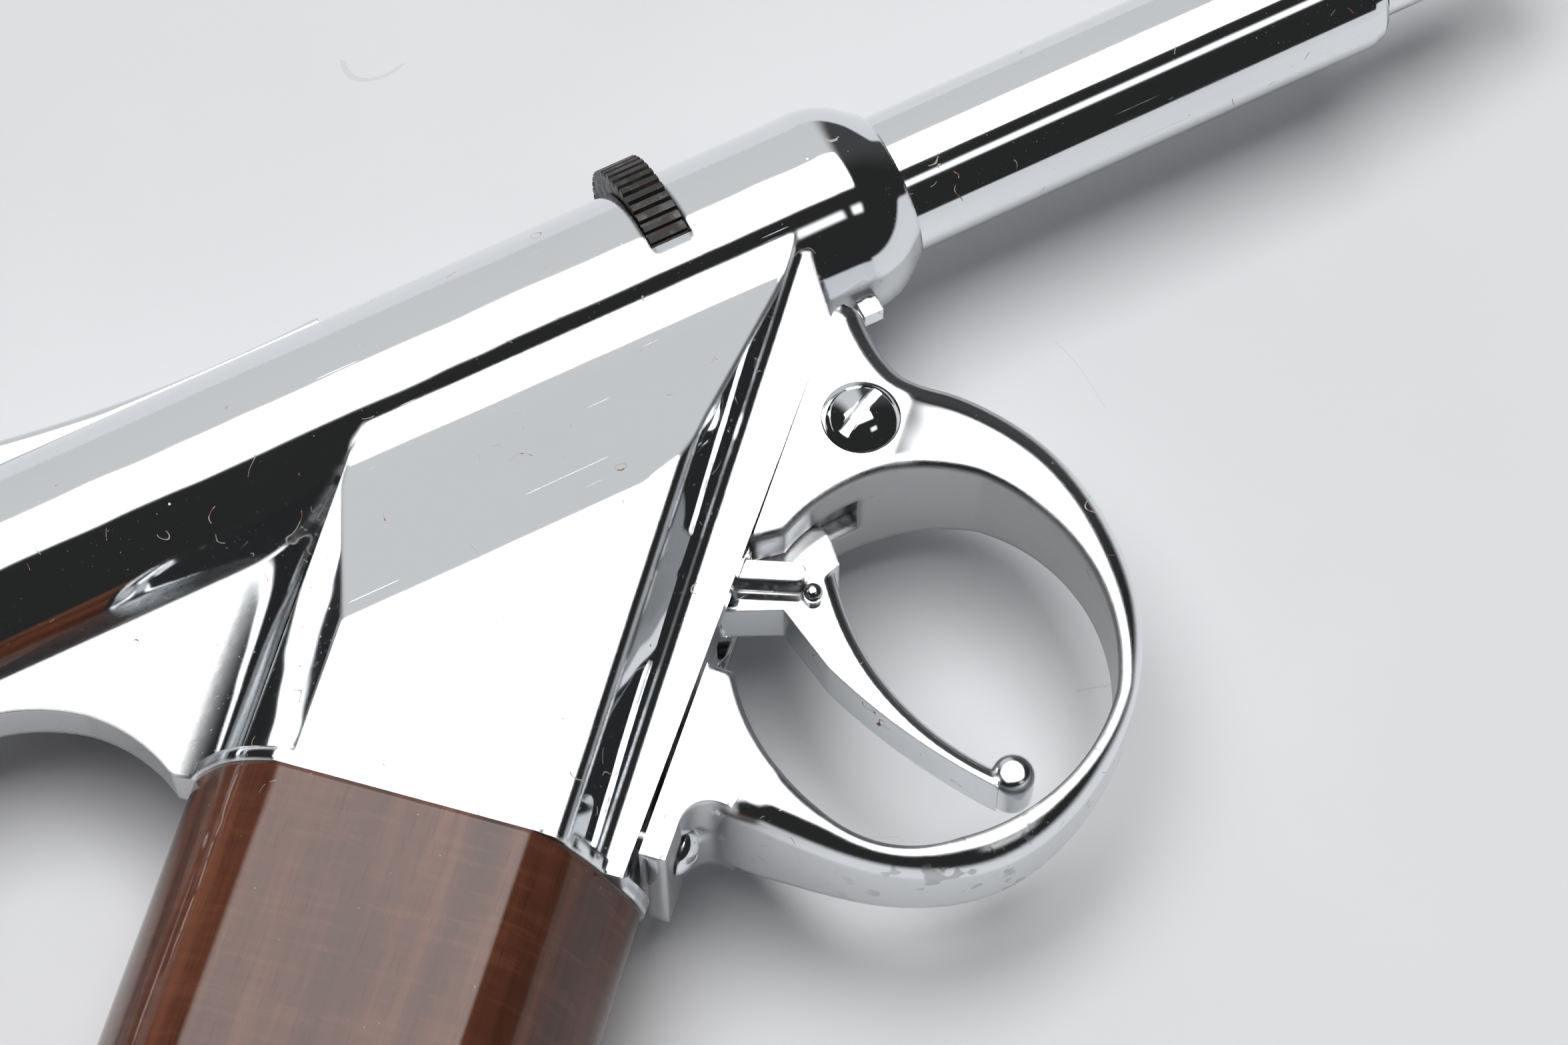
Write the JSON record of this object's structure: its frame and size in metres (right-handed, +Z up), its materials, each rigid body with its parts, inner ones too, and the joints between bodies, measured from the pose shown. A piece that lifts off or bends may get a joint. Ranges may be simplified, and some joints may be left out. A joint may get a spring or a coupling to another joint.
{
  "type": "dental cartridge syringe",
  "caption": "Chromed pistol-grip cartridge syringe: barrel, finger guard and trigger, thumb wheel, thumb ring and wooden grip.",
  "frame": {"origin": "centre of the box around the whole instrument, on the plane of its flat left side, which it lies on", "axes": "+X along the barrel to the needle end, +Y to the top of the instrument, +Z up, out of its right side"},
  "size_m": [0.2263, 0.1302, 0.028],
  "materials": {
    "body_chrome": "polished",
    "cap_chrome": "polished",
    "rib_chrome": "polished",
    "guard_chrome": "polished",
    "screw_chrome": "polished",
    "trigger_chrome": "polished",
    "peg_chrome": "polished",
    "ring_chrome": "polished",
    "barrel_chrome": "polished",
    "nose_chrome": "polished",
    "butt_chrome": "polished",
    "screw_steel": "satin",
    "pin_steel": "satin",
    "spring_steel": "satin",
    "driver_steel": "satin",
    "rail_steel": "satin",
    "pawl_steel": "satin",
    "rod_steel": "satin",
    "bush_brass": "satin",
    "wheel_black": "satin",
    "stopper_rubber": "matte",
    "seal_rubber": "matte",
    "liner_plastic": "satin",
    "cartridge_glass": "gloss",
    "cap_aluminium": "satin",
    "grip_wood": "gloss"
  },
  "bodies": {
    "frame": {"body_casting": "body_chrome", "rear_cap": "cap_chrome", "rear_cap_bush": "bush_brass", "top_rib": "rib_chrome", "rib_screw": "screw_steel", "trigger_guard": "guard_chrome", "guard_side_screw": "screw_chrome", "guard_front_screw": "screw_steel", "trigger_pin": "pin_steel", "trigger_spring": "spring_steel", "driver_rail": "rail_steel", "rod_guide": "bush_brass", "hub_front": "bush_brass", "barrel_lock_screw": "screw_steel", "grip_shell": "grip_wood", "butt_cap": "butt_chrome", "grip_bolt": "screw_steel", "grip_washer": "screw_steel"},
    "trigger_lever": {"trigger": "trigger_chrome", "trigger_peg": "peg_chrome"},
    "feed_driver": {"driver": "driver_steel", "pawl_pin": "pin_steel", "pawl_spring": "spring_steel"},
    "feed_pawl": {"pawl": "pawl_steel"},
    "plunger": {"plunger_rod": "rod_steel", "rod_piston": "rod_steel", "harpoon": "rod_steel", "cartridge_stopper": "stopper_rubber", "thumb_ring": "ring_chrome", "ring_nut": "ring_chrome"},
    "lock_wheel_body": {"lock_wheel": "wheel_black"},
    "lock_ball_body": {"lock_ball": "pin_steel"},
    "barrel": {"barrel_tube": "barrel_chrome", "barrel_ring": "seal_rubber", "cartridge_liner": "liner_plastic", "cartridge_glass": "cartridge_glass", "cartridge_cap": "cap_aluminium", "cartridge_diaphragm": "seal_rubber", "nose_adaptor": "nose_chrome", "nose_washer": "seal_rubber"}
  },
  "joints": [
    {"name": "trigger_pull", "type": "hinge", "parent": "frame", "child": "trigger_lever", "pos_m": [0.00715, 0.02429, 0.014], "axis": [0, 0, -1], "range_deg": [0, 10], "stiffness_Nm_per_rad": 0.25, "springref_deg": -20.05, "deforming": ["trigger_spring"]},
    {"name": "driver_feed", "type": "slide", "parent": "frame", "child": "feed_driver", "axis": [1, 0, 0], "range_m": [0, 0.0036]},
    {"name": "pawl_tilt", "type": "hinge", "parent": "feed_driver", "child": "feed_pawl", "pos_m": [-0.00385, 0.04559, 0.014], "axis": [0, 0, -1], "range_deg": [0, 8], "stiffness_Nm_per_rad": 0.002, "springref_deg": -11.46, "deforming": ["pawl_spring"]},
    {"name": "rod_slide", "type": "slide", "parent": "frame", "child": "plunger", "axis": [1, 0, 0], "range_m": [-0.045, 0]},
    {"name": "lock_wheel_turn", "type": "hinge", "parent": "frame", "child": "lock_wheel_body", "pos_m": [0.01495, 0.05329, 0.014], "axis": [-1, 0, 0], "range_deg": [0, 40]},
    {"name": "lock_ball_lift", "type": "slide", "parent": "frame", "child": "lock_ball_body", "axis": [0, 1, 0], "range_m": [0, 0.0004]},
    {"name": "barrel_draw", "type": "slide", "parent": "frame", "child": "barrel", "axis": [1, 0, 0], "range_m": [0, 0.07]}
  ],
  "couplings": [
    {"joint": "driver_feed", "follows": "trigger_pull", "m_per_rad": 0.02},
    {"joint": "lock_ball_lift", "follows": "lock_wheel_turn", "m_per_rad": 0.000509}
  ]
}
